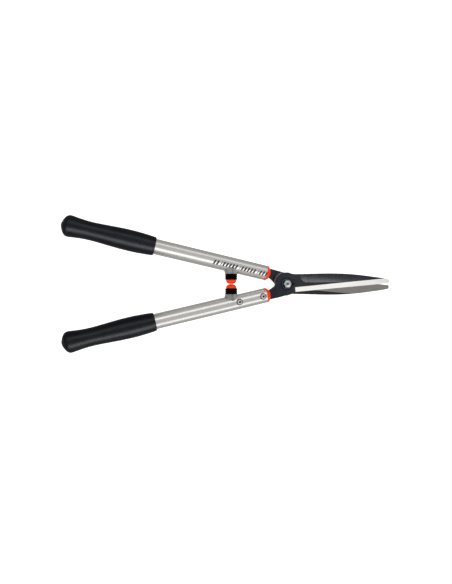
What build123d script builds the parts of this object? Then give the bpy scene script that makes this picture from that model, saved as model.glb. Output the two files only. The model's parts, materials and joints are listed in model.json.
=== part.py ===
from build123d import *
import os
from math import cos, radians, sin, sqrt, tan

os.makedirs("parts", exist_ok=True)

# Hedge shears, lying flat and closed. Sizes are in millimetres and degrees.
# The origin is under the middle of the tool's box. +X points to the blade tips, and +Z up through the
# pivot bolt's head. Each half is the other one turned over about the tool's centre line, so every piece
# is drawn once in a half's own frame: x to the tips, y to the half's own blade side, z to its outer face.

# Whole tool
pivot_x = 96.8  # middle of the tool's length to the pivot
mating_height = 20.6  # the plane where the blades meet, above the surface the tool lies on
handle_angle = 12.4  # each handle's axis to the centre line
handle_offset = 13.0  # pivot axis to each handle's axis
fit_clearance = 0.05  # radial clearance of a running fit

# Blades
blade_gap = 0.1  # between the two blades
blade_thickness = 5.5
boss_radius = 24.0
boss_end_side = 5.0  # the boss's round outline ends here, beside the crotch
crotch = (-21.9, 0.0)
crotch_curve = [(-24.9, -3.6), (-29.2, -7.6), (-33.6, -10.9)]  # from the crotch to the tang's root
crotch_way = (-0.8, -1)
crotch_radius = 1.2
edge_start = (20.0, -16.35)  # heel of the cutting edge
edge_angle = 4.72  # cutting edge to the centre line
edge_length = 223.7
edge_land_heel = 1.1  # thickness left at the cutting edge
edge_land_tip = 0.2
bevel_slope = 0.458  # rise across the ground bevel
tip_corner = (243.8, 5.8)
tip_nose = (242.9, 9.0)
front_spine = [(239.0, 10.9), (227.0, 13.1), (212.0, 15.0), (189.5, 17.6), (168.0, 19.9)]
rear_spine = [(145.0, 21.6), (92.0, 22.6), (54.0, 21.6), (25.0, 20.8), (13.0, 21.4)]
spine_way = (-1, 0.17)  # the spine's direction where it leaves the tip
neck_back = 4.0  # the spine meets the boss this far behind the pivot
heel_curve = [(1.1, -22.9), (11.0, -19.9)]  # between the tang's shoulder and the cutting edge
heel_way = (1, 0.4)
tang_shoulder = 20.0
trim_reach = 280.0  # trimming shapes reach this far past the tip
trim_margin = 5.0
hollow_start = (46.0, 19.5)  # the shallow hollow in a blade's face, ground by a large round wheel
hollow_end = (215.0, 12.6)
hollow_wheel_radius = 107.0
hollow_depth = 1.2
face_chamfer = 0.7
face_chamfer_margin = 0.1  # the broken edge stops this far short of the tang's step

# Tangs
tang_thickness = 6.2
tang_outer = 10.4  # handle axis to the tang's outer edge
tang_inner = 8.3  # handle axis to the tang's inner edge
tang_root = 40.5  # the crotch's curve meets the tang's inner edge here
tang_end = 113.5  # distances along a handle are from the foot of the pivot's perpendicular
joggle_start = 25.5  # between these the tang steps from its blade's layer to the middle of the tube
joggle_end = 34.0

# Handle tubes and their front seals
tube_diameter = 30.0
tube_wall = 2.0
tube_front = 47.8
tube_rear = 432.5
tube_rim_chamfer = 0.8
seal_radius = 15.2
seal_tip = 36.7
seal_crown = (38.9, 8.2)  # a point on the seal's domed front, by distance along the handle and radius
seal_rim_start = 45.2
seal_end = 115.5

# Tang screws, two in each handle
tang_screw_places = [57.7, 108.1]
tang_screw_diameter = 6.0
tang_screw_end = -4.0
button_diameter = 10.5
button_height = 3.3
button_rounding = 2.3
button_socket_floor = 1.3
button_socket = 4.0
spot_face_height = 14.05
spot_face_diameter = 11.0

# Grips: the outer surface as (distance along the handle, radius)
grip_front = 277.0
grip_rim = [(277.0, 16.3), (277.6, 17.5), (279.2, 18.0)]
grip_swell = [(279.2, 18.0), (300.0, 19.6), (322.0, 20.5), (350.0, 19.8)]
grip_waist = [(380.0, 17.8), (396.0, 17.3), (412.0, 18.0), (437.0, 20.6)]
grip_rim_way = (1, 0.09)
grip_corner = [(437.0, 20.6), (444.4, 16.4), (448.2, 9.0)]
grip_butt = [(448.2, 9.0), (449.9, 4.6), (450.5, 0)]
grip_bore_end = 433.0
vent_radius = 1.5
vent_depth = 4.0

# Pivot bolt and what is on it
bolt_diameter = 10.0
bolt_hole_diameter = 10.2
bolt_end = 20.3  # below the mating plane
bolt_end_chamfer = 1.0
hex_width = 14.0
head_height = 6.4
hex_chamfer = 1.4
dish_radius = 9.0
dish_depth = 1.2
recess_radius = 12.75
recess_depth = 0.5
tab_washer_radius = 10.75
tab_washer_thickness = 1.8
tab_reach = 20.0
tab_half_width = 6.5
tab_slot_margin = 0.3
bush_diameter = 14.0
washer_gap = 0.1  # between the moving blade and the flat washer
flat_washer_radius = 10.75
flat_washer_thickness = 2.0
washer_bore_radius = 5.3
spring_washer_radius = 10.0
spring_washer_height = 1.6
spring_washer_thickness = 1.1
nut_hex_width = 16.0
nut_height = 10.0
nut_hex_height = 7.5
nut_collar_radius = 7.3
insert_radius = 6.25
insert_height = 1.9
insert_inset = 0.4

# Bumpers: heights are from the tube's axis towards the centre line, along the bumper's own axis
bumper_distance = 116.2  # behind the pivot
bumper_dome_gap = 0.15  # each closed dome to the centre line
saddle_skirt = 7.0
saddle_face = 18.5
saddle_foot_radius = 16.0
saddle_face_radius = 12.5
guide_radius = 7.0
guide_top = 26.0
guide_bore_radius = 4.55
guide_floor = 17.2
ring_top = 30.2
ring_radius = 12.3
ring_groove_depth = 0.9
ring_ribs = 3
ring_bore_radius = 7.1
dome_base = 30.25
dome_radius = 10.4
dome_rim = 0.8
stem_end = 22.95
bumper_screw_radius = 2.4
bumper_screw_tip = 9.0
bumper_screw_head_radius = 4.2
bumper_screw_head_height = 2.6
bumper_screw_socket = 3.0

# Worked out from the sizes above
turn = radians(handle_angle)
handle_foot = (handle_offset * sin(turn), -handle_offset * cos(turn))
face_height = blade_gap / 2 + blade_thickness
recess_floor = face_height - recess_depth
head_underside = recess_floor + tab_washer_thickness
flat_washer_seat = recess_floor + washer_gap
spring_washer_seat = flat_washer_seat + flat_washer_thickness
nut_seat = spring_washer_seat + spring_washer_height
insert_seat = nut_seat + nut_height - insert_inset - insert_height
bumper_axis_depth = handle_offset / cos(turn) + bumper_distance * tan(turn)
dome_height = bumper_axis_depth - bumper_dome_gap - dome_base

front_half = Plane((pivot_x, 0, mating_height))
rear_half = Plane((pivot_x, 0, mating_height), x_dir=(1, 0, 0), z_dir=(0, 0, -1))


def handle_plane(half):
    """The plane of a half's handle: x backwards along the tube's axis, y away from the centre line."""
    return Plane(half.location * Location((*handle_foot, 0), (0, 0, 180 + handle_angle)))


def bumper_plane(half):
    """The plane across a half's bumper, on the tube's axis, facing the centre line."""
    foot = half.from_local_coords((-bumper_distance, -bumper_axis_depth, 0))
    return Plane(foot, x_dir=half.x_dir, z_dir=half.y_dir)


def side_plane(plane):
    """The upright plane through a plane's x axis, with its own y up."""
    return Plane(plane.origin, x_dir=plane.x_dir, z_dir=-plane.y_dir)


def cross_plane(handle, along):
    """The plane square across a handle at a distance along it."""
    return Plane(handle.from_local_coords((along, 0, 0)), x_dir=handle.y_dir, z_dir=handle.x_dir)


def at_handle(along, across):
    """A point of the handle's plane in its half's own coordinates."""
    x = handle_foot[0] - along * cos(turn) + across * sin(turn)
    y = handle_foot[1] - along * sin(turn) - across * cos(turn)
    return (x, y)


def keep(piece, name):
    """Names a finished piece and writes it."""
    piece.part.label = name
    export_step(piece.part, f"parts/{name}.step")


def forge_blade(half, bore_diameter):
    """Blade, boss and tang in one forging, with its ground bevel, face hollow, recess and holes."""
    handle = handle_plane(half)
    layer_low = blade_gap / 2
    half_tang = tang_thickness / 2
    shoulder = at_handle(tang_shoulder, tang_outer)
    shoulder_way = (cos(turn), sin(turn))
    edge_way = radians(edge_angle)
    edge_end = (edge_start[0] + edge_length * cos(edge_way), edge_start[1] + edge_length * sin(edge_way))
    neck_end = (-neck_back, sqrt(boss_radius**2 - neck_back**2))
    neck_way = (-neck_end[1], -neck_back)
    boss_back = (-boss_radius * sqrt(0.75), boss_radius / 2)
    boss_end = (-sqrt(boss_radius**2 - boss_end_side**2), boss_end_side)
    root = at_handle(tang_root, -tang_inner)
    root_way = (-cos(turn), -sin(turn))
    tang_tip_outer = at_handle(tang_end, tang_outer)
    tang_tip_inner = at_handle(tang_end, -tang_inner)

    with BuildPart() as blade:
        # Outline, seen from the blade's own outer side
        with BuildSketch(half.offset(-half_tang)) as outline:
            with BuildLine():
                Line(tang_tip_outer, shoulder)
                Spline(shoulder, *heel_curve, edge_start, tangents=[shoulder_way, heel_way])
                Line(edge_start, edge_end)
                Line(edge_end, tip_corner)
                ThreePointArc(tip_corner, tip_nose, front_spine[0])
                Spline(*front_spine, *rear_spine, neck_end, tangents=[spine_way, neck_way])
                ThreePointArc(neck_end, boss_back, boss_end)
                Line(boss_end, crotch)
                Spline(crotch, *crotch_curve, root, tangents=[crotch_way, root_way])
                Line(root, tang_tip_inner)
                Line(tang_tip_inner, tang_tip_outer)
            make_face()
            fillet(outline.vertices().sort_by_distance(crotch)[0], crotch_radius)
        extrude(amount=half_tang + face_height)

        # Thickness, seen from the side of the handle: the tang steps down to the middle of the tube
        with BuildSketch(side_plane(handle)):
            with BuildLine():
                Polyline(
                    (-trim_reach, layer_low),
                    (joggle_start, layer_low),
                    (joggle_end, -half_tang),
                    (tang_end, -half_tang),
                    (tang_end, half_tang),
                    (joggle_end, half_tang),
                    (joggle_start, face_height),
                    (-trim_reach, face_height),
                    close=True,
                )
            make_face()
        extrude(amount=trim_reach, both=True, mode=Mode.INTERSECT)

        # Broken edge round the outer face, but not across the tip, which the bevel takes off
        outer_face = blade.faces().sort_by(Axis(half.origin, half.z_dir))[-1]
        rim_end = joggle_start - face_chamfer_margin
        rim = outer_face.edges().filter_by(lambda e: handle.to_local_coords(e @ 0.5).X < rim_end)
        chamfer(rim.sort_by(Axis(half.origin, half.x_dir))[:-1], face_chamfer)

        # Hollow along the outer face, running out towards the tip
        wheel_height = face_height + hollow_wheel_radius - hollow_depth
        wheel_start = half.from_local_coords((*hollow_start, wheel_height))
        wheel_end = half.from_local_coords((*hollow_end, wheel_height + hollow_depth))
        with BuildSketch(Plane(wheel_start, z_dir=wheel_end - wheel_start)):
            Circle(hollow_wheel_radius)
        extrude(amount=(wheel_end - wheel_start).length, mode=Mode.SUBTRACT)
        with Locations(wheel_start):
            Sphere(hollow_wheel_radius, mode=Mode.SUBTRACT)

        # Ground bevel along the cutting edge, square-cut at the heel and wider towards the tip
        heel = half.from_local_coords((*edge_start, layer_low + edge_land_heel))
        toe = half.from_local_coords((*edge_end, layer_low + edge_land_tip))
        edge_run = toe - heel
        bevel_top = blade_thickness + trim_margin
        with BuildSketch(Plane(heel, x_dir=edge_run.cross(-half.z_dir), z_dir=edge_run)):
            with BuildLine():
                Polyline(
                    (-trim_margin, -trim_margin * bevel_slope),
                    (bevel_top / bevel_slope, bevel_top),
                    (-trim_margin, bevel_top),
                    close=True,
                )
            make_face()
        extrude(amount=edge_length + trim_margin, mode=Mode.SUBTRACT)

        # Recess for the washer, with a slot for its tab, and the pivot bore
        with BuildSketch(half.offset(recess_floor)):
            Circle(recess_radius)
            with BuildLine():
                Polyline(
                    (0, tab_half_width + tab_slot_margin),
                    (tab_reach + tab_slot_margin, 0),
                    (0, -tab_half_width - tab_slot_margin),
                    close=True,
                )
            make_face()
        extrude(amount=blade_thickness, mode=Mode.SUBTRACT)
        with BuildSketch(half):
            Circle(bore_diameter / 2)
        extrude(amount=face_height, mode=Mode.SUBTRACT)

        # Holes for the tang screws
        with BuildSketch(handle.offset(-half_tang)):
            with Locations(*[(place, 0) for place in tang_screw_places]):
                Circle(tang_screw_diameter / 2)
        extrude(amount=tang_thickness, mode=Mode.SUBTRACT)
    return blade


def draw_tube(half):
    """Handle tube with spot faces and holes for the tang screws, and a hole for the bumper's screw."""
    handle = handle_plane(half)
    with BuildPart() as tube:
        with BuildSketch(cross_plane(handle, tube_front)):
            Circle(tube_diameter / 2)
            Circle(tube_diameter / 2 - tube_wall, mode=Mode.SUBTRACT)
        extrude(amount=tube_rear - tube_front)
        front_end = tube.faces().sort_by(Axis(handle.origin, handle.x_dir))[0]
        chamfer(front_end.edges().sort_by(SortBy.RADIUS)[-1], tube_rim_chamfer)
        with BuildSketch(handle.offset(spot_face_height)):
            with Locations(*[(place, 0) for place in tang_screw_places]):
                Circle(spot_face_diameter / 2)
        extrude(amount=tube_wall, mode=Mode.SUBTRACT)
        with BuildSketch(handle):
            with Locations(*[(place, 0) for place in tang_screw_places]):
                Circle(tang_screw_diameter / 2 + fit_clearance)
        extrude(amount=tube_diameter, mode=Mode.SUBTRACT)
        with BuildSketch(bumper_plane(half)):
            Circle(bumper_screw_radius)
        extrude(amount=tube_diameter, mode=Mode.SUBTRACT)
    return tube


def mould_end_seal(half):
    """Plastic insert that closes a tube's front end, with a rounded nose and a slot for the tang."""
    handle = handle_plane(half)
    bore_radius = tube_diameter / 2 - tube_wall
    with BuildPart() as seal:
        with BuildSketch(handle):
            with BuildLine():
                ThreePointArc((seal_tip, 0), seal_crown, (seal_rim_start, seal_radius))
                Polyline(
                    (seal_rim_start, seal_radius),
                    (tube_front, seal_radius),
                    (tube_front, bore_radius),
                    (seal_end, bore_radius),
                    (seal_end, 0),
                    (seal_tip, 0),
                )
            make_face()
        revolve(axis=Axis(handle.origin, handle.x_dir))
        with BuildSketch(handle.offset(-tang_thickness / 2)):
            with BuildLine():
                Polyline(
                    (joggle_end, -tang_inner),
                    (tang_end, -tang_inner),
                    (tang_end, tang_outer),
                    (joggle_end, tang_outer),
                    close=True,
                )
            make_face()
        extrude(amount=tang_thickness, mode=Mode.SUBTRACT)
        with BuildSketch(handle.offset(tang_screw_end)):
            with Locations(*[(place, 0) for place in tang_screw_places]):
                Circle(tang_screw_diameter / 2 + fit_clearance)
        extrude(amount=tube_diameter, mode=Mode.SUBTRACT)
    return seal


def turn_tang_screw(half, place):
    """Button-head socket screw through the tube and the tang."""
    handle = handle_plane(half)
    with BuildPart() as screw:
        with BuildSketch(handle.offset(tang_screw_end)):
            with Locations((place, 0)):
                Circle(tang_screw_diameter / 2)
        extrude(amount=spot_face_height - tang_screw_end)
        with BuildSketch(handle.offset(spot_face_height)):
            with Locations((place, 0)):
                Circle(button_diameter / 2)
        extrude(amount=button_height)
        crown = screw.faces().sort_by(Axis(handle.origin, handle.z_dir))[-1].edges()
        fillet(crown, button_rounding)
        with BuildSketch(handle.offset(spot_face_height + button_socket_floor)):
            with Locations((place, 0)):
                RegularPolygon(button_socket / 2, 6, major_radius=False)
        extrude(amount=button_height, mode=Mode.SUBTRACT)
    return screw


def mould_grip(half):
    """Moulded grip, turned about the tube's axis: a swell, a waist and a bulbous butt with a vent."""
    handle = handle_plane(half)
    tube_radius = tube_diameter / 2
    with BuildPart() as grip:
        with BuildSketch(handle):
            with BuildLine():
                Line((grip_front, tube_radius), grip_rim[0])
                ThreePointArc(*grip_rim)
                Spline(*grip_swell, *grip_waist, tangents=[grip_rim_way, (1, 0)])
                ThreePointArc(*grip_corner)
                ThreePointArc(*grip_butt)
                Polyline(
                    grip_butt[-1],
                    (grip_bore_end, 0),
                    (grip_bore_end, tube_radius),
                    (grip_front, tube_radius),
                )
            make_face()
        revolve(axis=Axis(handle.origin, handle.x_dir))
        with BuildSketch(cross_plane(handle, grip_butt[-1][0] - vent_depth)):
            Circle(vent_radius)
        extrude(amount=2 * vent_depth, mode=Mode.SUBTRACT)
    return grip


def turn_pivot_bolt():
    """Hex bolt, head up, with a dished crown and a chamfered end."""
    head_top = head_underside + head_height
    with BuildPart() as bolt:
        with BuildSketch(front_half.offset(head_underside)):
            Circle(hex_width / sqrt(3))
        extrude(amount=head_height)
        crown = bolt.faces().sort_by(Axis.Z)[-1].edges()
        chamfer(crown, hex_chamfer / 2, hex_chamfer)
        with BuildSketch(front_half.offset(head_underside)):
            RegularPolygon(hex_width / 2, 6, major_radius=False)
        extrude(amount=head_height, mode=Mode.INTERSECT)
        with Locations(front_half.from_local_coords((0, 0, head_top + dish_radius - dish_depth))):
            Sphere(dish_radius, mode=Mode.SUBTRACT)
        with BuildSketch(front_half.offset(-bolt_end)):
            Circle(bolt_diameter / 2)
        extrude(amount=bolt_end + head_underside)
        chamfer(bolt.faces().sort_by(Axis.Z)[0].edges(), bolt_end_chamfer)
    return bolt


def stamp_tab_washer():
    """Washer under the bolt's head, with one pointed tab that keeps it from turning."""
    with BuildPart() as washer:
        with BuildSketch(front_half.offset(recess_floor)):
            Circle(tab_washer_radius)
            with BuildLine():
                Polyline((0, tab_half_width), (tab_reach, 0), (0, -tab_half_width), close=True)
            make_face()
            Circle(bolt_hole_diameter / 2, mode=Mode.SUBTRACT)
        extrude(amount=tab_washer_thickness)
    return washer


def turn_ring(seat, height, radius, bore_radius):
    """A plain round ring on the bolt, on the rear half's side, such as the bush or a flat washer."""
    with BuildPart() as ring:
        with BuildSketch(rear_half.offset(seat)):
            Circle(radius)
            Circle(bore_radius, mode=Mode.SUBTRACT)
        extrude(amount=height)
    return ring


def press_spring_washer():
    """Conical spring washer, high at its bore."""
    top = nut_seat
    with BuildPart() as washer:
        with BuildSketch(side_plane(rear_half)):
            with BuildLine():
                Polyline(
                    (spring_washer_radius, spring_washer_seat),
                    (spring_washer_radius, spring_washer_seat + spring_washer_thickness),
                    (washer_bore_radius, top),
                    (washer_bore_radius, top - spring_washer_thickness),
                    close=True,
                )
            make_face()
        revolve(axis=Axis(rear_half.origin, rear_half.z_dir))
    return washer


def turn_lock_nut():
    """Hex nut with a round collar that holds the nylon insert."""
    with BuildPart() as nut:
        with BuildSketch(rear_half.offset(nut_seat)):
            RegularPolygon(nut_hex_width / 2, 6, major_radius=False)
        extrude(amount=nut_hex_height)
        with BuildSketch(rear_half.offset(nut_seat + nut_hex_height)):
            Circle(nut_collar_radius)
        extrude(amount=nut_height - nut_hex_height)
        with BuildSketch(rear_half.offset(nut_seat)):
            Circle(bolt_diameter / 2)
        extrude(amount=nut_height, mode=Mode.SUBTRACT)
        with BuildSketch(rear_half.offset(insert_seat)):
            Circle(insert_radius)
        extrude(amount=insert_height, mode=Mode.SUBTRACT)
    return nut


def cast_saddle(half):
    """Saddle that sits on the tube, with a guide for the dome's stem and a hole for its screw."""
    handle = handle_plane(half)
    bumper = bumper_plane(half)
    with BuildPart() as saddle:
        with BuildSketch(side_plane(bumper)):
            with BuildLine():
                Polyline(
                    (bumper_screw_radius, saddle_skirt),
                    (saddle_foot_radius, saddle_skirt),
                    (saddle_face_radius, saddle_face),
                    (guide_radius, saddle_face),
                    (guide_radius, guide_top),
                    (guide_bore_radius, guide_top),
                    (guide_bore_radius, guide_floor),
                    (bumper_screw_radius, guide_floor),
                    close=True,
                )
            make_face()
        revolve(axis=Axis(bumper.origin, bumper.z_dir))
        with BuildSketch(cross_plane(handle, 0)):
            Circle(tube_diameter / 2)
        extrude(amount=tube_rear, mode=Mode.SUBTRACT)
    return saddle


def mould_bumper_ring(half):
    """Rubber ring round the guide, with rounded ribs."""
    bumper = bumper_plane(half)
    rib_height = (ring_top - saddle_face) / ring_ribs
    groove = ring_radius - ring_groove_depth
    with BuildPart() as ring:
        with BuildSketch(side_plane(bumper)):
            with BuildLine():
                for rib in range(ring_ribs):
                    low = saddle_face + rib * rib_height
                    crest = (ring_radius, low + rib_height / 2)
                    ThreePointArc((groove, low), crest, (groove, low + rib_height))
                Polyline(
                    (groove, ring_top),
                    (ring_bore_radius, ring_top),
                    (ring_bore_radius, saddle_face),
                    (groove, saddle_face),
                )
            make_face()
        revolve(axis=Axis(bumper.origin, bumper.z_dir))
    return ring


def mould_bumper_dome(half):
    """Domed buffer with a stem that slides in the saddle's guide."""
    bumper = bumper_plane(half)
    stem_radius = guide_bore_radius - fit_clearance
    shoulder = dome_base + dome_rim
    haunch = (dome_radius * sqrt(0.5), shoulder + (dome_height - dome_rim) * sqrt(0.5))
    crown = (0, dome_base + dome_height)
    with BuildPart() as dome:
        with BuildSketch(side_plane(bumper)):
            with BuildLine():
                Spline((dome_radius, shoulder), haunch, crown, tangents=[(0, 1), (-1, 0)])
                Polyline(
                    (dome_radius, shoulder),
                    (dome_radius, dome_base),
                    (stem_radius, dome_base),
                    (stem_radius, stem_end),
                    (0, stem_end),
                    crown,
                )
            make_face()
        revolve(axis=Axis(bumper.origin, bumper.z_dir))
    return dome


def turn_bumper_screw(half):
    """Socket screw from the guide's floor through the tube's wall."""
    bumper = bumper_plane(half)
    with BuildPart() as screw:
        with BuildSketch(bumper.offset(bumper_screw_tip)):
            Circle(bumper_screw_radius)
        extrude(amount=guide_floor - bumper_screw_tip)
        with BuildSketch(bumper.offset(guide_floor)):
            Circle(bumper_screw_head_radius)
        extrude(amount=bumper_screw_head_height)
        with BuildSketch(bumper.offset(guide_floor + bumper_screw_head_height / 2)):
            RegularPolygon(bumper_screw_socket / 2, 6, major_radius=False)
        extrude(amount=bumper_screw_head_height, mode=Mode.SUBTRACT)
    return screw


# Blades
keep(forge_blade(front_half, bolt_hole_diameter), "upper_blade")
keep(forge_blade(rear_half, bush_diameter), "lower_blade")

# Pivot
bush_length = recess_floor - blade_gap / 2
bush_bore = bolt_diameter / 2 + fit_clearance
keep(turn_pivot_bolt(), "pivot_bolt")
keep(stamp_tab_washer(), "tab_washer")
keep(turn_ring(blade_gap / 2, bush_length, bush_diameter / 2, bush_bore), "pivot_bush")
flat_washer = turn_ring(flat_washer_seat, flat_washer_thickness, flat_washer_radius, washer_bore_radius)
keep(flat_washer, "flat_washer")
keep(press_spring_washer(), "spring_washer")
keep(turn_lock_nut(), "lock_nut")
keep(turn_ring(insert_seat, insert_height, insert_radius, bolt_diameter / 2), "nut_insert")

# Handles: the right one carries the upper blade, and the left one the lower blade
for side, half in (("right", front_half), ("left", rear_half)):
    keep(draw_tube(half), f"{side}_tube")
    keep(mould_end_seal(half), f"{side}_end_seal")
    keep(turn_tang_screw(half, tang_screw_places[0]), f"{side}_tang_screw_front")
    keep(turn_tang_screw(half, tang_screw_places[1]), f"{side}_tang_screw_back")
    keep(mould_grip(half), f"{side}_grip")
    keep(cast_saddle(half), f"{side}_bumper_saddle")
    keep(mould_bumper_ring(half), f"{side}_bumper_ring")
    keep(mould_bumper_dome(half), f"{side}_bumper_dome")
    keep(turn_bumper_screw(half), f"{side}_bumper_screw")
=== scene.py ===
import bpy
import json
from math import cos, pi, radians, sin, sqrt
from mathutils import Matrix, Vector

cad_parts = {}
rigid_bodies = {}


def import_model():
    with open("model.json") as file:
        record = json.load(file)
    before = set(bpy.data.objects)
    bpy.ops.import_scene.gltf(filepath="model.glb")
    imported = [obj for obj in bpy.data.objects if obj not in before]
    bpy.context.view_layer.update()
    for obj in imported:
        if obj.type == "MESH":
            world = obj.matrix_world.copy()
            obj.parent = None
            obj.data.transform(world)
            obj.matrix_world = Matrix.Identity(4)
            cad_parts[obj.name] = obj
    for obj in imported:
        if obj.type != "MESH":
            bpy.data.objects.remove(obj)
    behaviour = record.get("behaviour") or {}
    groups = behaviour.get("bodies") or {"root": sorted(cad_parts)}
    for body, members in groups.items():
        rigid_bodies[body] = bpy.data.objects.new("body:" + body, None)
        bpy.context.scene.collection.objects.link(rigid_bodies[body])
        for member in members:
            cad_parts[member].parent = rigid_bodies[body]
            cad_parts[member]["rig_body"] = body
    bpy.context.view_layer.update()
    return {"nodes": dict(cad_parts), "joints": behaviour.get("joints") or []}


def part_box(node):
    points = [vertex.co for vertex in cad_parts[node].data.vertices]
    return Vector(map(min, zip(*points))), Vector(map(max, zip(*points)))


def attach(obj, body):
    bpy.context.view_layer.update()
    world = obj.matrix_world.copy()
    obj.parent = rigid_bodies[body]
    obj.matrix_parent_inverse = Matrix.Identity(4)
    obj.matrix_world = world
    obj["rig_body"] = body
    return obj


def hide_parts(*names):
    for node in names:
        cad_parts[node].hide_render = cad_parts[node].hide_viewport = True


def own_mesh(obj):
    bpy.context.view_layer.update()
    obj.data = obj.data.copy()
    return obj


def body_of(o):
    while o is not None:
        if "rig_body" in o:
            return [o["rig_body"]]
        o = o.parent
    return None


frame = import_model()
mm = 0.001
upright = Vector((0, 0, 1))

# where the frame says things are
pivotJoint = [joint for joint in frame["joints"] if joint["name"] == "blade_pivot"][0]
pivot = Vector(pivotJoint["pos_m"])
turnOver = Matrix.Translation(pivot) @ Matrix.Rotation(pi, 4, "X") @ Matrix.Translation(-pivot)


def middle(node):
    low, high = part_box(node)
    return (low + high) / 2


def span(node, place):
    # how far a CAD node reaches along a place's own z, in millimetres
    inverse = place.inverted()
    heights = [(inverse @ corner.co).z / mm for corner in frame["nodes"][node].data.vertices]
    return min(heights), max(heights)


def placeFrom(origin, along, across):
    # z runs along, x across
    place = Matrix((across, along.cross(across), along)).transposed().to_4x4()
    place.translation = origin
    return place


handleWay = middle("right_tube") - middle("right_tang_screw_front")
handleWay.z = 0
handleWay.normalize()
handlePlace = placeFrom(middle("right_tube"), handleWay, upright)  # z backwards along the right tube
handleTurn = Vector((-1, 0)).angle_signed(handleWay.xy)
bumperSpot = Vector((middle("right_bumper_ring").x, 0, pivot.z))
bumperPlace = placeFrom(bumperSpot, Vector((0, 1, 0)), Vector((1, 0, 0)))  # z from the right tube to the middle
print("places read from the frame")


# camera
view = {"spot": (-0.2383, -0.0159, 0.8551), "tilt": 14, "roll": -0.24, "lens": 26.5, "film": 36}
lookDown = Vector((sin(radians(view["tilt"])), 0, -cos(radians(view["tilt"]))))
cameraData = bpy.data.cameras.new("camera")
cameraData.lens = view["lens"]
cameraData.sensor_width = view["film"]
camera = bpy.data.objects.new("camera", cameraData)
cameraTurn = placeFrom(Vector(view["spot"]), -lookDown, Vector((0, 1, 0)).cross(-lookDown))
camera.matrix_world = cameraTurn @ Matrix.Rotation(radians(view["roll"]), 4, "Z")
bpy.context.scene.collection.objects.link(camera)
bpy.context.scene.camera = camera
bpy.context.scene.view_settings.view_transform = "Standard"


# node tools
def addNode(tree, kind, inputs=None, **settings):
    made = tree.nodes.new("ShaderNode" + kind)
    for key, value in settings.items():
        setattr(made, key, value)
    for key, value in (inputs or {}).items():
        if isinstance(value, bpy.types.NodeSocket):
            tree.links.new(value, made.inputs[key])
        else:
            made.inputs[key].default_value = value
    return made


def doMath(tree, operation, first, second=0.0, third=0.0):
    inputs = {0: first, 1: second, 2: third}
    return addNode(tree, "Math", inputs, operation=operation).outputs[0]


def doVector(tree, operation, first, second):
    made = addNode(tree, "VectorMath", {0: first, 1: second}, operation=operation)
    return made.outputs["Value" if operation in ("DOT_PRODUCT", "DISTANCE", "LENGTH") else "Vector"]


def ramp(tree, value, low, high, toLow=0.0, toHigh=1.0, smooth=True):
    inputs = {"Value": value, "From Min": low, "From Max": high, "To Min": toLow, "To Max": toHigh}
    kind = "SMOOTHSTEP" if smooth else "LINEAR"
    return addNode(tree, "MapRange", inputs, interpolation_type=kind).outputs["Result"]


def mixColour(tree, factor, first, second, blend="MIX"):
    made = addNode(tree, "Mix", {0: factor, 6: first, 7: second}, data_type="RGBA", blend_type=blend)
    return made.outputs[2]


def noise(tree, position, scale, detail=3.0, roughness=0.5):
    inputs = {"Vector": position, "Scale": scale, "Detail": detail, "Roughness": roughness}
    return addNode(tree, "TexNoise", inputs).outputs["Fac"]


def makeGroup(name, inputs, outputs):
    group = bpy.data.node_groups.new(name, "ShaderNodeTree")
    for label, kind in inputs:
        group.interface.new_socket(label, in_out="INPUT", socket_type="NodeSocket" + kind)
    for label, kind in outputs:
        group.interface.new_socket(label, in_out="OUTPUT", socket_type="NodeSocket" + kind)
    source = group.nodes.new("NodeGroupInput").outputs
    target = group.nodes.new("NodeGroupOutput").inputs
    return group, source, target


def useGroup(tree, group, inputs):
    return addNode(tree, "Group", inputs, node_tree=group).outputs


def startMaterial(name, uniform, turn=0.0, flip=1):
    # position comes in millimetres from the pivot, turned to lie along a handle where asked
    material = bpy.data.materials.new(name)
    material.use_nodes = True
    tree = material.node_tree
    shader = tree.nodes["Principled BSDF"]
    for key, value in uniform.items():
        shader.inputs[key].default_value = value
    source = addNode(tree, "TexCoord").outputs
    centred = doVector(tree, "SUBTRACT", source["Object"], tuple(pivot))
    scale = (1 / mm, flip / mm, flip / mm)
    inputs = {"Vector": centred, "Scale": scale, "Rotation": (0, 0, turn)}
    position = addNode(tree, "Mapping", inputs).outputs[0]
    normal = doVector(tree, "MULTIPLY", source["Normal"], (1, flip, flip))
    return material, tree, shader, position, normal


def finishMaterial(tree, shader, colour=None, roughness=None, height=None, depth=0.02, strength=1.0):
    if colour:
        tree.links.new(colour, shader.inputs["Base Color"])
    if roughness:
        tree.links.new(roughness, shader.inputs["Roughness"])
    if height:
        inputs = {"Strength": strength, "Distance": depth * mm, "Height": height}
        tree.links.new(addNode(tree, "Bump", inputs).outputs[0], shader.inputs["Normal"])


# effects that several finishes share
def makeBrushMarks():
    # fine straight lines along x, as a belt or a drawing die leaves them
    look = {
        "fineStretch": (0.012, 1, 1), "broadStretch": (0.003, 0.35, 0.35), "fineShare": 0.6, "broadShare": 0.4,
    }
    inputs = [("Position", "Vector"), ("Fineness", "Float")]
    group, source, target = makeGroup("brushMarks", inputs, [("Streak", "Float"), ("Height", "Float")])
    long = doVector(group, "MULTIPLY", source["Position"], look["fineStretch"])
    longer = doVector(group, "MULTIPLY", source["Position"], look["broadStretch"])
    fine = noise(group, long, source["Fineness"], 4, 0.6)
    broad = noise(group, longer, source["Fineness"], 2)
    broad = doMath(group, "MULTIPLY", broad, look["broadShare"])
    both = doMath(group, "MULTIPLY_ADD", fine, look["fineShare"], broad)
    group.links.new(ramp(group, both, 0.3, 0.7), target["Streak"])
    group.links.new(fine, target["Height"])
    return group


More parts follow.
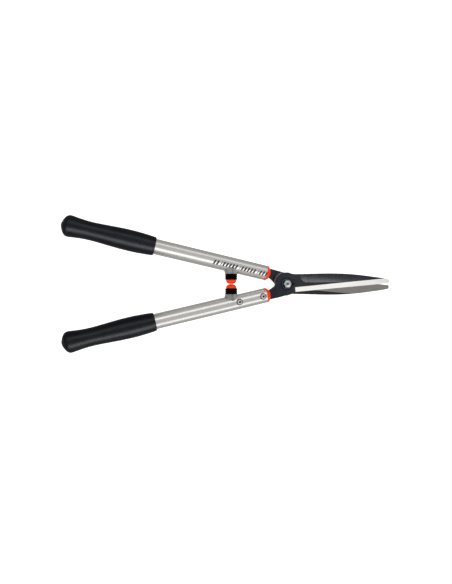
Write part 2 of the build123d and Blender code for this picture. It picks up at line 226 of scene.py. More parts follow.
def makeMouldGrain():
    # the dull fine grain of a spark-eroded mould
    inputs = [("Position", "Vector"), ("Fineness", "Float")]
    group, source, target = makeGroup("mouldGrain", inputs, [("Tone", "Float"), ("Height", "Float")])
    pits = noise(group, source["Position"], source["Fineness"], 5, 0.65)
    cloud = noise(group, source["Position"], 0.05, 3)
    group.links.new(pits, target["Height"])
    group.links.new(cloud, target["Tone"])
    return group


def makeHandling():
    # patches that hands have rubbed
    group, source, target = makeGroup(
        "handling", [("Position", "Vector"), ("Spread", "Float")], [("Rubbed", "Float")])
    rubbed = noise(group, source["Position"], source["Spread"], 4, 0.6)
    group.links.new(ramp(group, rubbed, 0.4, 0.75), target["Rubbed"])
    return group


brushMarks = makeBrushMarks()
mouldGrain = makeMouldGrain()
handling = makeHandling()
print("shared effects ready")


# finishes
def alongHandle(x, y):
    # a spot by its x and y from the pivot, turned as the tube's finish turns them
    return Matrix.Rotation(handleTurn, 4, "Z") @ Vector((x, y, 0))


def makeTubeFinish(side, flip, marked):
    shine = {
        "light": (0.83, 0.815, 0.79, 1), "dark": (0.785, 0.77, 0.748, 1), "rough": 0.26, "fineness": 3.0,
        "gap": 6.7, "paintedShade": (0.012, 0.012, 0.012, 1), "ink": (0.02, 0.02, 0.022, 1),
        "inkFrom": (-161, -43.0), "inkTo": (-45, -21.2), "inkHigh": 4.4, "inkPitch": 6.4, "inkSlant": 0.35,
        "inkWord": 6, "inkSoft": 0.3,
    }
    material, tree, shader, position, _ = startMaterial(
        f"tubeAluminium.{side}", {"Metallic": 1.0}, handleTurn, flip)
    marks = useGroup(tree, brushMarks, {"Position": position, "Fineness": shine["fineness"]})
    wear = useGroup(tree, handling, {"Position": position, "Spread": 0.08})
    colour = mixColour(tree, marks["Streak"], shine["dark"], shine["light"])
    rough = doMath(tree, "MULTIPLY_ADD", marks["Streak"], -0.03, shine["rough"] + 0.02)
    rough = doMath(tree, "MULTIPLY_ADD", wear["Rubbed"], 0.04, rough)
    spot = addNode(tree, "SeparateXYZ", {0: position}).outputs
    outer = ramp(tree, spot[2], 9.0, 10.0)  # the face that holds the screws
    for place in ("front", "back"):  # painted shade: a dark ring round each screw's head, where the gap between head and tube lies in shadow
        seat = (middle(f"right_tang_screw_{place}") - pivot) / mm
        seat = alongHandle(seat.x, seat.y)
        acrossGap = doVector(tree, "DISTANCE", doVector(tree, "MULTIPLY", position, (1, 1, 0)), tuple(seat))
        # painted shade in the gap round the screw head
        near = doMath(tree, "MULTIPLY", ramp(tree, acrossGap, shine["gap"], shine["gap"] - 0.3), outer)
        colour = mixColour(tree, near, colour, shine["paintedShade"])
    if marked:  # a row of slanted printed bars, on the side that faces up
        start, end = alongHandle(*shine["inkFrom"]), alongHandle(*shine["inkTo"])
        runAlong = doMath(tree, "MULTIPLY_ADD", spot[1], shine["inkSlant"], spot[0])
        offset = doMath(tree, "ABSOLUTE", doMath(tree, "SUBTRACT", spot[1], (start.y + end.y) / 2))
        low, high = min(start.x, end.x), max(start.x, end.x)
        soft = shine["inkSoft"]
        started, ended = ramp(tree, runAlong, low, low + soft), ramp(tree, runAlong, high, high - soft)
        within = doMath(tree, "MULTIPLY", started, ended)
        within = doMath(tree, "MULTIPLY", within, ramp(tree, offset, shine["inkHigh"], shine["inkHigh"] - soft))
        within = doMath(tree, "MULTIPLY", within, ramp(tree, spot[2], -8.0, -9.0))  # the face turned up
        bars = doMath(tree, "FRACT", doMath(tree, "DIVIDE", runAlong, shine["inkPitch"]))
        words = doMath(tree, "FRACT", doMath(tree, "DIVIDE", runAlong, shine["inkPitch"] * shine["inkWord"]))
        bars = doMath(tree, "MULTIPLY", ramp(tree, bars, 0.40, 0.46), ramp(tree, words, 0.12, 0.14))
        printed = doMath(tree, "MULTIPLY", within, bars)
        colour = mixColour(tree, printed, colour, shine["ink"])
        tree.links.new(doMath(tree, "MULTIPLY_ADD", printed, -0.9, 1.0), shader.inputs["Metallic"])
    finishMaterial(tree, shader, colour, rough, marks["Height"], 0.002, 0.4)
    return material


def makeMetalFinish(name, light, dark, rough):
    material, tree, shader, position, _ = startMaterial(name, {"Metallic": 1.0})
    marks = useGroup(tree, mouldGrain, {"Position": position, "Fineness": 4.0})
    wear = useGroup(tree, handling, {"Position": position, "Spread": 0.4})
    colour = mixColour(tree, wear["Rubbed"], light, dark)
    # painted shade: the metal turns near black where the piece's shade attribute says
    shade = addNode(tree, "Attribute", attribute_name="shade").outputs["Fac"]
    colour = mixColour(tree, shade, colour, (0.008, 0.008, 0.009, 1))
    roughness = doMath(tree, "MULTIPLY_ADD", wear["Rubbed"], 0.14, rough)
    finishMaterial(tree, shader, colour, roughness, marks["Height"], 0.01, 0.5)
    return material


def makeTabFinish():
    # blued steel, near black on its flat; the paler blue on its edges and on a ring near its rim is painted
    # highlight
    look = {
        "flat": (0.008, 0.012, 0.022, 1), "edge": (0.07, 0.15, 0.25, 1), "rough": 0.30,
        "rimFrom": 8.9, "rimTo": 10.2,
    }
    material, tree, shader, position, normal = startMaterial("darkSteel", {"Metallic": 1.0})
    marks = useGroup(tree, mouldGrain, {"Position": position, "Fineness": 4.0})
    wear = useGroup(tree, handling, {"Position": position, "Spread": 0.4})
    up = addNode(tree, "SeparateXYZ", {0: normal}).outputs[2]
    away = doVector(tree, "DISTANCE", doVector(tree, "MULTIPLY", position, (1, 1, 0)), (0, 0, 0))
    # painted highlight: a paler blue ring on the flat near its rim
    rim = doMath(tree, "MULTIPLY", ramp(tree, away, look["rimFrom"], look["rimFrom"] + 0.5),
                 ramp(tree, away, look["rimTo"] + 0.4, look["rimTo"]))
    flat = mixColour(tree, rim, look["flat"], look["edge"])
    # painted highlight: faces that do not face up take the paler blue
    colour = mixColour(tree, ramp(tree, up, 0.80, 0.98), look["edge"], flat)
    roughness = doMath(tree, "MULTIPLY_ADD", wear["Rubbed"], 0.14, look["rough"])
    finishMaterial(tree, shader, colour, roughness, marks["Height"], 0.01, 0.5)
    return material


def makeMouldedFinish(name, light, dark, rough, specular):
    material, tree, shader, position, _ = startMaterial(name, {"Specular IOR Level": specular})
    skin = useGroup(tree, mouldGrain, {"Position": position, "Fineness": 2.2})
    wear = useGroup(tree, handling, {"Position": position, "Spread": 0.12})
    colour = mixColour(tree, ramp(tree, skin["Tone"], 0.35, 0.65), dark, light)
    roughness = doMath(tree, "MULTIPLY_ADD", wear["Rubbed"], -0.08, rough + 0.03)
    roughness = doMath(tree, "MULTIPLY_ADD", skin["Height"], 0.08, roughness)
    finishMaterial(tree, shader, colour, roughness, skin["Height"], 0.03, 0.6)
    return material


def makeSaddleFinish():
    # glossy grey plastic; painted light makes its facets brighter towards the blades, and a painted shade line
    # darkens its middle edge
    look = {
        "edge": (0.045, 0.048, 0.055, 1), "facet": (0.235, 0.235, 0.23, 1), "bright": (0.30, 0.315, 0.32, 1),
        "rough": 0.24,
    }
    material, tree, shader, position, normal = startMaterial("greyPlastic", {"Specular IOR Level": 0.5})
    skin = useGroup(tree, mouldGrain, {"Position": position, "Fineness": 2.2})
    wear = useGroup(tree, handling, {"Position": position, "Spread": 0.12})
    sideways = addNode(tree, "SeparateXYZ", {0: normal}).outputs[0]
    # painted highlight: facets facing the blades are brighter
    colour = mixColour(tree, ramp(tree, sideways, 0.0, 0.3), look["facet"], look["bright"])
    # painted shade: a dark line where the facets turn across the middle
    shadedMiddleEdge = ramp(tree, doMath(tree, "ABSOLUTE", sideways), 0.37, 0.15)
    colour = mixColour(tree, shadedMiddleEdge, colour, look["edge"])
    colour = mixColour(tree, doMath(tree, "MULTIPLY", skin["Tone"], 0.15), colour, look["edge"])
    roughness = doMath(tree, "MULTIPLY_ADD", wear["Rubbed"], 0.08, look["rough"])
    finishMaterial(tree, shader, colour, roughness, skin["Height"], 0.02, 0.5)
    return material


def makeBladeFinish(side, flip):
    # blackened forging, with the cutting bevel and the mating face ground bare
    look = {
        "black": (0.016, 0.017, 0.023, 1), "blackDeep": (0.010, 0.011, 0.016, 1),
        "recess": (0.002, 0.002, 0.003, 1), "recessWide": 13.6,
        "bevelLight": (0.93, 0.915, 0.89, 1), "bevelDark": (0.80, 0.77, 0.73, 1),
        "faceLight": (0.46, 0.44, 0.42, 1), "faceDark": (0.30, 0.285, 0.27, 1),
        "bevelTilt": 24.6, "edgeAngle": 4.72, "groundFrom": (71, 13.3), "groundTo": (151, 20.6),
        "groundStart": 30.0, "pad": 25.7, "rough": 0.22, "bareRough": 0.14,
    }
    material, tree, shader, position, normal = startMaterial(f"bladeSteel.{side}", {}, 0, flip)
    tilt = radians(look["bevelTilt"])
    edge = radians(look["edgeAngle"])
    bevelWay = (sin(tilt) * sin(edge), -sin(tilt) * cos(edge), cos(tilt))
    bevel = ramp(tree, doVector(tree, "DOT_PRODUCT", normal, bevelWay), 0.985, 0.995)
    up = addNode(tree, "SeparateXYZ", {0: normal}).outputs[2]
    spot = addNode(tree, "SeparateXYZ", {0: position}).outputs
    facing = ramp(tree, doMath(tree, "MULTIPLY", up, -1.0), 0.97, 0.99)  # the face towards the other blade
    startX, startY = look["groundFrom"]
    endX, endY = look["groundTo"]
    slope = (endY - startY) / (endX - startX)
    line = doMath(tree, "MULTIPLY_ADD", spot[0], slope, startY - slope * startX)
    inside = ramp(tree, doMath(tree, "SUBTRACT", line, spot[1]), -0.15, 0.15)
    beyond = ramp(tree, spot[0], endX - 0.4, endX + 0.4)
    ground = doMath(tree, "MAXIMUM", inside, beyond)
    started = ramp(tree, spot[0], look["groundStart"] - 0.4, look["groundStart"] + 0.4)
    ground = doMath(tree, "MULTIPLY", ground, started)
    fromPivot = doVector(tree, "DISTANCE", doVector(tree, "MULTIPLY", position, (1, 1, 0)), (0, 0, 0))
    pad = ramp(tree, fromPivot, look["pad"] + 0.1, look["pad"] - 0.1)
    ground = doMath(tree, "MULTIPLY", facing, doMath(tree, "MAXIMUM", ground, pad))

    turned = addNode(tree, "Mapping", {"Vector": position, "Rotation": (0, 0, -edge)}).outputs[0]
    marks = useGroup(tree, brushMarks, {"Position": turned, "Fineness": 2.2})
    skin = useGroup(tree, mouldGrain, {"Position": position, "Fineness": 1.6})
    wear = useGroup(tree, handling, {"Position": position, "Spread": 0.09})
    body = mixColour(tree, ramp(tree, skin["Tone"], 0.35, 0.65), look["blackDeep"], look["black"])
    bevelColour = mixColour(tree, marks["Streak"], look["bevelDark"], look["bevelLight"])
    faceColour = mixColour(tree, marks["Streak"], look["faceDark"], look["faceLight"])
    # painted shade: near black in the recess round the bolt, on the outer side
    boltRecessShade = ramp(tree, fromPivot, look["recessWide"] + 0.1, look["recessWide"] - 0.1)
    outside = ramp(tree, spot[2], 4.5, 5.0)  # the side away from the other blade
    boltRecessShade = doMath(tree, "MULTIPLY", boltRecessShade, outside)
    body = mixColour(tree, boltRecessShade, body, look["recess"])
    colour = mixColour(tree, ground, body, faceColour)
    colour = mixColour(tree, bevel, colour, bevelColour)
    bare = doMath(tree, "MAXIMUM", ground, bevel)
    rough = doMath(tree, "MULTIPLY_ADD", wear["Rubbed"], -0.02, look["rough"])
    rough = doMath(tree, "MULTIPLY_ADD", bare, look["bareRough"], rough)
    height = mixColour(tree, bare, skin["Height"], marks["Height"])
    tree.links.new(ramp(tree, bare, 0, 1, 0.35, 1.0, False), shader.inputs["Metallic"])
    finishMaterial(tree, shader, colour, rough, height, 0.006, 0.4)
    return material


tubeFinish = {"right": makeTubeFinish("right", 1, False), "left": makeTubeFinish("left", -1, True)}
bladeFinish = {"upper": makeBladeFinish("upper", 1), "lower": makeBladeFinish("lower", -1)}
metals = {  # light colour, dark colour, roughness
    "zincSteel": ((0.80, 0.79, 0.76, 1), (0.62, 0.60, 0.56, 1), 0.24),
    "bronze": ((0.62, 0.40, 0.19, 1), (0.45, 0.27, 0.12, 1), 0.35),
}
mouldings = {  # light colour, dark colour, roughness, specular level
    "nylon": ((0.55, 0.55, 0.52, 1), (0.48, 0.48, 0.45, 1), 0.45, 0.5),
    "gripBlack": ((0.0022, 0.0026, 0.0040, 1), (0.0013, 0.0016, 0.0026, 1), 0.32, 0.09),
    "orangePlastic": ((0.95, 0.058, 0.004, 1), (0.84, 0.040, 0.003, 1), 0.33, 0.2),
    "orangeRubber": ((0.95, 0.056, 0.004, 1), (0.84, 0.038, 0.003, 1), 0.36, 0.15),
    "blackRubber": ((0.0008, 0.0008, 0.001, 1), (0.0005, 0.0005, 0.0006, 1), 0.28, 0.05),
}
finish = {name: makeMetalFinish(name, *look) for name, look in metals.items()}
finish.update({name: makeMouldedFinish(name, *look) for name, look in mouldings.items()})
finish["darkSteel"] = makeTabFinish()
finish["greyPlastic"] = makeSaddleFinish()
print("finishes ready")


# modelling tools
def clearChoice():
    if bpy.context.mode != "OBJECT":
        bpy.ops.object.mode_set(mode="OBJECT")
    bpy.ops.object.select_all(action="DESELECT")


def startPiece(name):
    # the primitive just added, opened with all of it selected
    piece = bpy.context.object
    piece.name = name
    piece.data.name = name
    bpy.ops.object.mode_set(mode="EDIT")
    bpy.ops.mesh.select_all(action="SELECT")
    return piece


def endPiece(piece):
    bpy.ops.mesh.select_all(action="SELECT")
    bpy.ops.mesh.remove_doubles(threshold=0.002 * mm)
    bpy.ops.mesh.normals_make_consistent(inside=False)
    bpy.ops.object.mode_set(mode="OBJECT")
    bpy.ops.object.transform_apply(location=True, rotation=True, scale=True)
    return piece


def turnPiece(name, outline, corners=64, capped=True):
    # a ring drawn out and resized along z through (height, radius) in millimetres
    clearChoice()
    height, radius = outline[0]
    bpy.ops.mesh.primitive_circle_add(vertices=corners, radius=radius * mm, location=(0, 0, height * mm))
    piece = startPiece(name)
    if capped:
        bpy.ops.mesh.edge_face_add()
        bpy.ops.mesh.select_mode(type="EDGE")
    for (oldHeight, oldRadius), (newHeight, newRadius) in zip(outline, outline[1:]):
        bpy.ops.mesh.extrude_edges_move(TRANSFORM_OT_translate={"value": (0, 0, (newHeight - oldHeight) * mm)})
        grow = newRadius / oldRadius
        bpy.ops.transform.resize(value=(grow, grow, 1), center_override=(0, 0, newHeight * mm))
    if capped:
        bpy.ops.mesh.edge_face_add()
    return endPiece(piece)


def chooseOnly(piece):
    clearChoice()
    piece.select_set(True)
    bpy.context.view_layer.objects.active = piece


def applyModifier(piece, kind, **settings):
    chooseOnly(piece)
    made = piece.modifiers.new(kind.lower(), kind)
    for key, value in settings.items():
        setattr(made, key, value)
    bpy.ops.object.modifier_apply(modifier=made.name)


def subdivide(piece, levels=2):
    applyModifier(piece, "SUBSURF", levels=levels, render_levels=levels)


def roundEdges(piece, width, segments=2, angle=30):
    applyModifier(piece, "BEVEL", width=width * mm, segments=segments, limit_method="ANGLE",
                  angle_limit=radians(angle), use_clamp_overlap=True)


def combine(piece, tool, operation="DIFFERENCE"):
    applyModifier(piece, "BOOLEAN", object=tool, operation=operation, solver="EXACT")
    bpy.data.objects.remove(tool)


def shadeByAngle(piece, angle=35):
    chooseOnly(piece)
    bpy.ops.object.shade_smooth_by_angle(angle=radians(angle))


def putInPlace(piece, place):
    piece.data.transform(place)


def shadeWhere(piece, rule):
    # painted shade: how dark the metal is at each point, darker in the middle of the bolt's dish, inside a
    # socket and under a screw's head
    shade = piece.data.attributes.new("shade", "FLOAT", "POINT")
    for vertex in piece.data.vertices:
        shade.data[vertex.index].value = float(rule(vertex.co))


def copyPiece(piece, name, move):
    twin = piece.copy()
    twin.data = piece.data.copy()
    twin.name = name
    twin.data.name = name
    twin.data.transform(move)
    bpy.context.scene.collection.objects.link(twin)
    return twin


def settle(piece, body, material, node):
    # the record's body and slot, the finish, and the CAD node that this piece stands for
    piece.data.materials.clear()
    piece.data.materials.append(material)
    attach(piece, body)
    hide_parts(node)


def settlePair(right, material, node, body="half"):
    # the right half's piece, and its copy turned over for the left half
    left = copyPiece(right, right.name.replace("right", "left"), turnOver)
    settle(right, f"right_{body}", material, f"right_{node}")
    settle(left, f"left_{body}", material, f"left_{node}")
    return right, left


def arc(centreHeight, centreRadius, tall, wide, start, end, steps):
    # points of a quarter round, by angle from the height axis
    turns = [radians(start + (end - start) * i / steps) for i in range(steps + 1)]
    return [(centreHeight + tall * cos(a), centreRadius + wide * sin(a)) for a in turns]


# grips
gripShape = {
    "bore": 15.0, "boreDepth": 156.0, "corners": 40,
    "skin": [  # (distance from the front, radius): body, waist, seam of the cap, butt and vent
        (0.0, 16.5), (0.25, 17.25), (1.1, 17.8), (3.0, 18.25), (10, 18.85), (23, 19.7), (34, 20.25),
        (45, 20.42), (58, 20.25), (73, 19.7), (90, 18.7), (106, 17.75), (119, 17.32), (130, 17.5), (140, 18.25),
        (150, 19.45), (156.5, 20.2), (157.6, 20.4), (158.3, 20.15), (159.1, 20.15), (159.8, 20.4),
        (161.5, 20.0), (164.5, 18.75), (167.1, 16.1), (169.5, 12.3), (171.3, 8.2), (172.5, 4.9), (173.2, 2.6), (173.2, 1.8),
        (172.4, 1.5), (169.6, 1.45),
    ],
}


def modelGrip():
    depth, wide = gripShape["boreDepth"], gripShape["bore"]
    bore = [(depth, 4.0), (depth, wide - 0.6), (depth - 0.8, wide), (60, wide), (1.2, wide),
            (0.3, wide + 0.1), (0.0, wide + 0.5)]
    low = span("right_grip", handlePlace)[0]
    grip = turnPiece("grip.right", bore + gripShape["skin"], gripShape["corners"])
    subdivide(grip)
    shadeByAngle(grip, 40)
    putInPlace(grip, handlePlace @ Matrix.Translation((0, 0, low * mm)))
    return grip


settlePair(modelGrip(), finish["gripBlack"], "grip")
print("grips done")


# end seals
sealShape = {
    "nose": 8.5, "radius": 15.2, "lip": 2.6, "cap": 19.2, "capSunk": 0.75, "capFrom": 3.5, "capTo": 56.2,
    "plug": 12.98, "slotThick": 6.3, "slotIn": 8.4, "slotOut": 10.5, "corners": 72,
}


def modelSeal():
    low, high = span("right_end_seal", handlePlace)
    radius, cap, plug = sealShape["radius"], sealShape["cap"], sealShape["plug"]
    lip = sealShape["nose"] + sealShape["lip"]
    # a low cap up to the lip
    outline = arc(cap, -sealShape["capSunk"], -cap, cap, sealShape["capFrom"], sealShape["capTo"], 14)
    outline += [(lip - 0.35, radius), (lip, radius - 0.35), (lip, plug), (high - low - 0.6, plug),
                (high - low, plug - 0.8)]
    seal = turnPiece("endSeal.right", outline, sealShape["corners"])
    clearChoice()
    bpy.ops.mesh.primitive_cube_add(size=1)
    slot = startPiece("tangSlot")
    slotIn, slotOut, slotThick = sealShape["slotIn"], sealShape["slotOut"], sealShape["slotThick"]
    bpy.ops.transform.resize(value=(slotThick * mm, (slotIn + slotOut) * mm, (high - low - 2) * mm))
    bpy.ops.transform.translate(value=(0, (slotOut - slotIn) / 2 * mm, (high - low - 4) / 2 * mm))
    endPiece(slot)
    combine(seal, slot)
    roundEdges(seal, 0.3, 2, 40)
    shadeByAngle(seal)
    putInPlace(seal, handlePlace @ Matrix.Translation((0, 0, low * mm)))
    return seal


settlePair(modelSeal(), finish["orangePlastic"], "end_seal")
print("end seals done")


# bumpers: heights run from each tube to the middle, where they are 0
domeShape = {"radius": 10.4, "rim": 0.9, "stem": 4.45, "fullness": 2.35}
ringShape = {"radius": 12.3, "groove": 1.6, "ribs": 3, "bore": 7.15}
saddleShape = {
    "foot": 16.0, "face": 12.5, "guide": 6.95, "bore": 4.6, "screw": 2.45, "facets": 8, "tube": 15.02,
}


def modelDome():
    stemEnd, tip = span("right_bumper_dome", bumperPlace)
    ringTop = span("right_bumper_ring", bumperPlace)[1]
    base = ringTop + 0.05
    radius, rim = domeShape["radius"], domeShape["rim"]
    stem = domeShape["stem"]
    outline = [(stemEnd, 1.5), (stemEnd, stem - 0.4), (stemEnd + 0.4, stem), (base, stem),
               (base, radius - 0.5), (base + 0.15, radius - 0.12), (base + 0.5, radius)]
    rise, full = tip - base - rim, 2 / domeShape["fullness"]
    turns = [radians(88 - 6 * step) for step in range(15)]
    outline += [(base + rim + rise * sin(pi / 2 - a) ** full, radius * sin(a) ** full) for a in turns]
    dome = turnPiece("bumperDome.right", outline, 72)
    shadeByAngle(dome, 50)
    putInPlace(dome, bumperPlace)
    return dome


def modelRing():
    low, high = span("right_bumper_ring", bumperPlace)
    radius, groove, ribs = ringShape["radius"], ringShape["groove"], ringShape["ribs"]
    rise = (high - low) / ribs
    outline = [(low, ringShape["bore"] + 0.3), (low, radius - groove)]
    for rib in range(ribs):
        middleHeight = low + (rib + 0.5) * rise
        outline += arc(middleHeight, radius - groove, -rise / 2 * 0.98, groove, 12, 168, 8)
    outline += [(high, radius - groove), (high, ringShape["bore"] + 0.3), (high - 0.3, ringShape["bore"]),
                (low + 0.3, ringShape["bore"]), (low, ringShape["bore"] + 0.3)]
    ring = turnPiece("bumperRing.right", outline, 80, capped=False)
    shadeByAngle(ring, 50)
    putInPlace(ring, bumperPlace)
    return ring


def modelSaddle():
    low, guideTop = span("right_bumper_saddle", bumperPlace)
    face = span("right_bumper_ring", bumperPlace)[0]
    floor = face - 1.3
    clearChoice()
    bpy.ops.mesh.primitive_cone_add(vertices=saddleShape["facets"], radius1=saddleShape["foot"] * mm,
                                    radius2=saddleShape["face"] * mm, depth=(face - low) * mm,
                                    location=(0, 0, (face + low) / 2 * mm))
    saddle = startPiece("bumperSaddle.right")
    endPiece(saddle)
    roundEdges(saddle, 0.4, 2, 20)
    guide = turnPiece("guide", [(face - 1, saddleShape["guide"]), (guideTop - 0.4, saddleShape["guide"]),
                                (guideTop, saddleShape["guide"] - 0.4)], 48)
    combine(saddle, guide, "UNION")
    screw, bore = saddleShape["screw"], saddleShape["bore"]
    well = turnPiece("well", [(low - 1, screw), (floor, screw), (floor, bore), (guideTop + 1, bore)], 48)
    combine(saddle, well)
    putInPlace(saddle, bumperPlace)
    tube = turnPiece("tubeRoom", [(-120, saddleShape["tube"]), (400, saddleShape["tube"])], 128)
    putInPlace(tube, handlePlace @ Matrix.Translation((0, 0, -150 * mm)))
    combine(saddle, tube)
    shadeByAngle(saddle, 30)
    return saddle


settlePair(modelDome(), finish["orangeRubber"], "bumper_dome", "dome")
rings = settlePair(modelRing(), finish["blackRubber"], "bumper_ring")
settlePair(modelSaddle(), finish["greyPlastic"], "bumper_saddle")
print("bumpers done")


# pivot: heights are above the plane where the blades meet
pivotPlace = Matrix.Translation(pivot)
boltShape = {
    "across": 14.0, "head": 6.4, "shank": 5.0, "end": 1.0, "dish": 1.3, "paintedShade": 0.75, "paintedShadeWide": 4.0,
}
nutShape = {"across": 16.0, "collar": 7.3, "hexHeight": 7.5, "bore": 5.02}


def modelHex(name, outline, low, high, across, width=0.3):
    # a turned body trimmed to six flats
    body = turnPiece(name, outline, 96)
    clearChoice()
    bpy.ops.mesh.primitive_cylinder_add(vertices=6, radius=across / sqrt(3) * mm, depth=(high - low + 2) * mm,
                                        location=(0, 0, (high + low) / 2 * mm))
    flats = startPiece("flats")
    bpy.ops.transform.rotate(value=radians(30), orient_axis="Z", center_override=(0, 0, 0))
    endPiece(flats)
    combine(body, flats, "INTERSECT")
    roundEdges(body, width, 2, 20)
    shadeByAngle(body, 30)
    return body


def modelBolt():
    low, high = span("pivot_bolt", pivotPlace)
    seat = high - boltShape["head"]
    wide = boltShape["across"] / sqrt(3)
    shank, end = boltShape["shank"], boltShape["end"]
    outline = [(low, shank - end), (low + end, shank), (seat, shank), (seat, wide + 0.3),
               (high - 0.75, wide + 0.3), (high - 0.05, wide - 1.35), (high, wide - 1.7),
               (high - 0.12, wide - 2.3)]
    rim = wide - 2.6
    outline += [(high - 0.2 - boltShape["dish"] * (1 - (r / rim) ** 2), r) for r in (rim, 4.6, 3.8, 3, 2, 1)]
    bolt = modelHex("pivotBolt", outline, low, high, boltShape["across"])

    def paintedShade(spot):
        # painted shade: dark in the middle of the dish
        share = max(0.0, 1 - (spot.xy.length / mm / boltShape["paintedShadeWide"]) ** 4)
        return boltShape["paintedShade"] * share if spot.z > (seat + 2) * mm else 0

    shadeWhere(bolt, paintedShade)
    putInPlace(bolt, pivotPlace)
    settle(bolt, "right_half", finish["zincSteel"], "pivot_bolt")


modelBolt()


tabShape = {"radius": 10.75, "hole": 5.15, "reach": 20.0, "half": 6.5, "edge": 0.45}


def modelTabWasher():
    low, high = span("tab_washer", pivotPlace)
    washer = turnPiece("tabWasher", [(low, tabShape["radius"]), (high, tabShape["radius"])], 96)
    clearChoice()
    bpy.ops.mesh.primitive_cylinder_add(vertices=3, radius=10 * mm, depth=(high - low) * mm,
                                        location=(0, 0, (low + high) / 2 * mm))
    tab = startPiece("tab")
    endPiece(tab)
    points = [(0, tabShape["half"]), (tabShape["reach"], 0), (0, -tabShape["half"])]
    # the wedge's three upright edges, in order of angle, go to the tab's corners
    angles = sorted({round(v.co.to_2d().angle_signed(Vector((1, 0))), 3) for v in tab.data.vertices})
    for v in tab.data.vertices:
        x, y = points[angles.index(round(v.co.to_2d().angle_signed(Vector((1, 0))), 3))]
        v.co.x, v.co.y = x * mm, y * mm
    chooseOnly(tab)
    bpy.ops.object.mode_set(mode="EDIT")
    endPiece(tab)
    combine(washer, tab, "UNION")
    hole = turnPiece("hole", [(low - 1, tabShape["hole"]), (high + 1, tabShape["hole"])], 64)
    combine(washer, hole)
    roundEdges(washer, tabShape["edge"], 2, 30)
    shadeByAngle(washer, 30)
    putInPlace(washer, pivotPlace)
    settle(washer, "right_half", finish["darkSteel"], "tab_washer")


modelTabWasher()


def modelNut():
    # under the blades, with a round collar that holds the insert
    low, high = span("lock_nut", pivotPlace)
    across, collar, bore = nutShape["across"], nutShape["collar"], nutShape["bore"]
    wide = across / sqrt(3)
    shoulder = high - nutShape["hexHeight"]
    outline = [(low, bore + 1.3), (low, collar - 0.9), (low + 0.25, collar - 0.3), (low + 0.9, collar),
               (shoulder, collar), (shoulder, wide - 1.0), (shoulder + 0.7, wide + 0.3),
               (high - 0.7, wide + 0.3), (high, wide - 1.0), (high, bore)]
    nut = modelHex("lockNut", outline, low, high, across)
    combine(nut, turnPiece("bore", [(low - 1, bore), (high + 1, bore)], 64))
    shadeByAngle(nut, 30)
    putInPlace(nut, pivotPlace)
    settle(nut, "right_half", finish["zincSteel"], "lock_nut")


modelNut()
print("pivot done")


# tang screws
screwShape = {
    "head": 5.25, "rise": 3.3, "rounding": 2.3, "shank": 3.0, "socket": 4.0, "floor": 1.3, "dark": 2.5,
}


def modelTangScrew(node):
    place = Matrix.Translation((middle(node).x, middle(node).y, pivot.z))
    low, high = span(node, place)
    seat, head, shank = high - screwShape["rise"], screwShape["head"], screwShape["shank"]
    rounding = screwShape["rounding"]
    outline = [(low, shank - 0.5), (low + 0.5, shank), (seat, shank), (seat, head - 0.15), (seat + 0.15, head)]
    outline += arc(high - rounding, head - rounding, rounding, rounding, 90, 0, 8)
    screw = turnPiece(node.replace("right_tang_screw", "tangScrew.right"), outline, 48)
    clearChoice()
    bpy.ops.mesh.primitive_cylinder_add(vertices=6, radius=screwShape["socket"] / sqrt(3) * mm, depth=6 * mm,
                                        location=(0, 0, (seat + screwShape["floor"] + 3) * mm))
    combine(screw, endPiece(startPiece("socket")))
    roundEdges(screw, 0.12, 2, 40)
    shadeByAngle(screw, 30)
    # painted shade inside the socket and along the foot of the head
    within, rim, foot = screwShape["dark"] * mm, (high - 0.2) * mm, (seat + 0.2) * mm
    shadeWhere(screw, lambda spot: (spot.xy.length < within and spot.z < rim) or spot.z < foot)
    putInPlace(screw, place)
    return screw


for place in ("front", "back"):
    screw = modelTangScrew(f"right_tang_screw_{place}")
    settlePair(screw, finish["zincSteel"], f"tang_screw_{place}")
print("tang screws done")


# CAD pieces that keep their shape
cadFinish = {
    "upper_blade": bladeFinish["upper"], "lower_blade": bladeFinish["lower"],
    "right_tube": tubeFinish["right"], "left_tube": tubeFinish["left"],
    "right_bumper_screw": finish["zincSteel"], "left_bumper_screw": finish["zincSteel"],
    "flat_washer": finish["zincSteel"], "spring_washer": finish["zincSteel"],
    "pivot_bush": finish["bronze"], "nut_insert": finish["nylon"],
}
for node, material in cadFinish.items():
    frame["nodes"][node].material_slots[0].material = material
print("CAD pieces finished")


# floor and light
stageLook = {
    "floorSize": 6.0, "floorDark": (0.93, 0.93, 0.93, 1), "floorLight": (0.95, 0.95, 0.95, 1), "floorGlow": 0.9,
    "overhead": 0.9, "overheadSize": 1.6, "overheadHeight": 1.3,
    "sky": [  # (degrees round the x axis, brightness)
        (-180, 0.40), (-110, 0.42), (-80, 0.46), (-50, 0.52), (0, 0.52), (45, 0.50), (80, 0.40), (110, 0.36),
    ],
}
strips = [  # pieces they light, half, degrees from upright towards +Y, width, radiance
    ("tube", "left_half", -36, 0.34, 1.05), ("tube", "left_half", 48, 0.22, 0.48),
    ("tube", "right_half", 33, 0.22, 0.88), ("tube", "right_half", -56, 0.30, 0.80),
    ("grip", "left_half", -43, 0.30, 14.0), ("grip", "left_half", 38, 0.26, 4.2),
    ("grip", "right_half", -46, 0.30, 14.5), ("grip", "right_half", 38, 0.26, 4.2),
]
stripPlace = {"away": 0.6, "length": 1.3, "back": 0.15}
faceLamp = {
    "node": "upper_blade", "towardsX": 28, "towardsY": 20, "away": 0.6, "wide": 0.20, "long": 0.25,
    "radiance": 6.0, "aim": (0.130, 0.016, 0.004),
}


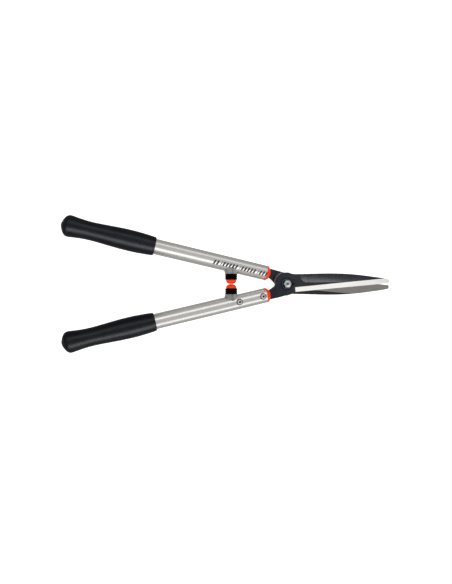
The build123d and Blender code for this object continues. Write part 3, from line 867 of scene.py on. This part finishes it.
def layFloor():
    clearChoice()
    bpy.ops.mesh.primitive_grid_add(x_subdivisions=8, y_subdivisions=8, size=stageLook["floorSize"])
    floor = bpy.context.object
    floor.name = "floor"
    uniform = {"Roughness": 0.9, "Specular IOR Level": 0.0, "Emission Strength": stageLook["floorGlow"],
               "Emission Color": (1, 1, 1, 1)}
    paint, tree, shader, position, _ = startMaterial("floorWhite", uniform)
    tone = noise(tree, position, 0.01, 2)
    finishMaterial(tree, shader, mixColour(tree, tone, stageLook["floorDark"], stageLook["floorLight"]))
    floor.data.materials.append(paint)
    floor.visible_glossy = False


def paintSky():
    # even grey for the metals to mirror, and white where the camera sees past the floor
    world = bpy.data.worlds.new("studio")
    world.use_nodes = True
    bpy.context.scene.world = world
    tree = world.node_tree
    tree.nodes.clear()
    way = addNode(tree, "SeparateXYZ", {0: addNode(tree, "TexCoord").outputs["Generated"]}).outputs
    around = doMath(tree, "ARCTAN2", way[1], way[2])
    share = ramp(tree, around, -pi, pi, 0, 1, False)
    skyRamp = addNode(tree, "ValToRGB", {0: share})
    elements = skyRamp.color_ramp.elements
    while len(elements) < len(stageLook["sky"]):
        elements.new(0.5)
    for element, (angle, level) in zip(elements, stageLook["sky"]):
        element.position = (angle + 180) / 360
        element.color = (level, level, level * 0.985, 1)
    direct = addNode(tree, "LightPath").outputs["Is Camera Ray"]
    colour = mixColour(tree, direct, skyRamp.outputs[0], (1, 1, 1, 1))
    shade = addNode(tree, "Background", {"Color": colour, "Strength": 1.0})
    tree.links.new(shade.outputs[0], addNode(tree, "OutputWorld").inputs[0])


def addLight(name, width, length, radiance, place):
    data = bpy.data.lights.new(name, "AREA")
    data.shape = "RECTANGLE"
    data.size, data.size_y = width, length
    data.energy = radiance * pi * width * length
    lamp = bpy.data.objects.new(name, data)
    lamp.matrix_world = place
    lamp.visible_camera = False
    bpy.context.scene.collection.objects.link(lamp)
    return lamp


def lightOnly(lamp, pieces):
    only = bpy.data.collections.new(f"litBy.{lamp.name}")
    for piece in pieces:
        only.objects.link(piece)
    lamp.light_linking.receiver_collection = only


def ofHalf(half, grips):
    # the meshes that ride one half, either its grip or all but its grip
    side = half.split("_")[0]
    meshes = [o for o in bpy.data.objects if o.type == "MESH" and body_of(o)]
    return [o for o in meshes if body_of(o)[0].startswith(side) and ("grip" in o.name) == grips]


def hangStrips():
    for number, (kind, half, angle, width, radiance) in enumerate(strips):
        way = handleWay.copy()
        if half == "left_half":
            way.y = -way.y
        tilt = radians(angle)
        side = Vector((0, 1, 0))
        side = (side - side.dot(way) * way).normalized()
        out = side * sin(tilt) + upright * cos(tilt)
        centre = middle("right_tube" if half == "right_half" else "left_tube") - way * stripPlace["back"]
        place = placeFrom(centre + out * stripPlace["away"], out, way.cross(out).normalized())
        lamp = addLight(f"strip.{number}", width, stripPlace["length"], radiance, place)
        lightOnly(lamp, ofHalf(half, kind == "grip"))


def hangFaceLamp():
    # shows the hollow in the upper blade's face
    tiltX, tiltY = radians(faceLamp["towardsX"]), radians(faceLamp["towardsY"])
    out = Vector((sin(tiltX), sin(tiltY), cos(tiltX))).normalized()
    centre = pivot + Vector(faceLamp["aim"]) + out * faceLamp["away"]
    place = placeFrom(centre, out, Vector((0, 1, 0)).cross(out).normalized())
    lamp = addLight("faceLamp", faceLamp["long"], faceLamp["wide"], faceLamp["radiance"], place)
    lightOnly(lamp, [frame["nodes"][faceLamp["node"]]])


layFloor()
paintSky()
overheadPlace = Matrix.Translation((0, 0, stageLook["overheadHeight"]))
overhead = addLight(
    "overhead", stageLook["overheadSize"], stageLook["overheadSize"], stageLook["overhead"], overheadPlace)
overhead.visible_glossy = False
hangStrips()
hangFaceLamp()
print("floor and lights done")


# each ring gets its own copy of its mesh
for ring, side, sign in zip(rings, ("right", "left"), (-1, 1)):
    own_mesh(ring)
